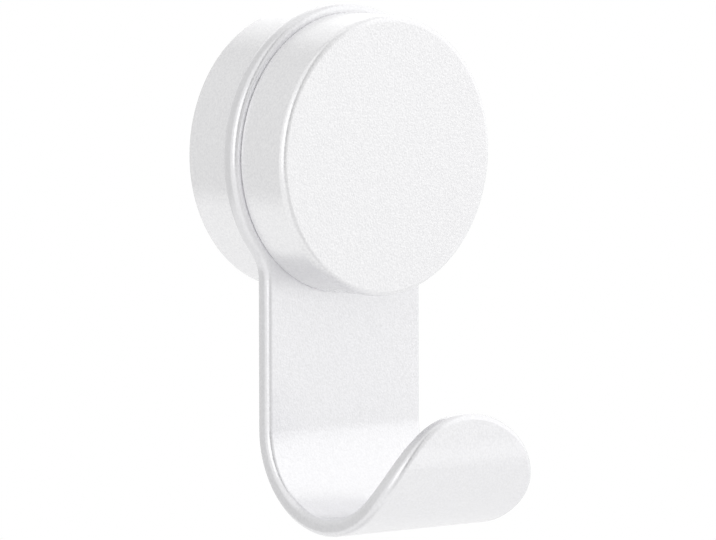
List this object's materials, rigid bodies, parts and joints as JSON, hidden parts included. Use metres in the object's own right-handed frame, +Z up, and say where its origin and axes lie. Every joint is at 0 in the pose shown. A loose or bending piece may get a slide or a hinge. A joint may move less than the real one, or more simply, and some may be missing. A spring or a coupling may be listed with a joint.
{
  "type": "wall hook",
  "caption": "White wall hook: a round wall disc, a flat plate bent into a rounded trough, and a round front knob that screws down on a central stud.",
  "frame": {"origin": "centre of the face of the wall disc that meets the wall, on the clamp axis", "axes": "+Y into the wall, -Y out of the wall towards the user, +Z up, +X to the right as seen from the front"},
  "size_m": [0.0424, 0.0372, 0.0743],
  "materials": {
    "white_powder_coat": "satin white coat with a fine grain and a soft metallic sheen",
    "zinc_plated_steel": "bright zinc plating",
    "natural_nylon": "plain moulded nylon"
  },
  "bodies": {
    "base": {"wall_disc": "white_powder_coat", "hook_plate": "white_powder_coat", "clamp_stud": "zinc_plated_steel", "locating_pin_left": "zinc_plated_steel", "locating_pin_right": "zinc_plated_steel"},
    "washer": {"knob_washer": "natural_nylon"},
    "knob": {"front_knob": "white_powder_coat"}
  },
  "joints": [
    {"name": "knob_travel", "type": "slide", "parent": "base", "child": "washer", "axis": [0, -1, 0], "range_m": [0, 0.0045]},
    {"name": "knob_turn", "type": "hinge", "parent": "washer", "child": "knob", "pos_m": [0, -0.0156, 0], "axis": [0, -1, 0], "range_deg": [0, 1656]}
  ],
  "couplings": [
    {"joint": "knob_turn", "follows": "knob_travel", "rad_per_m": 6283.2}
  ]
}
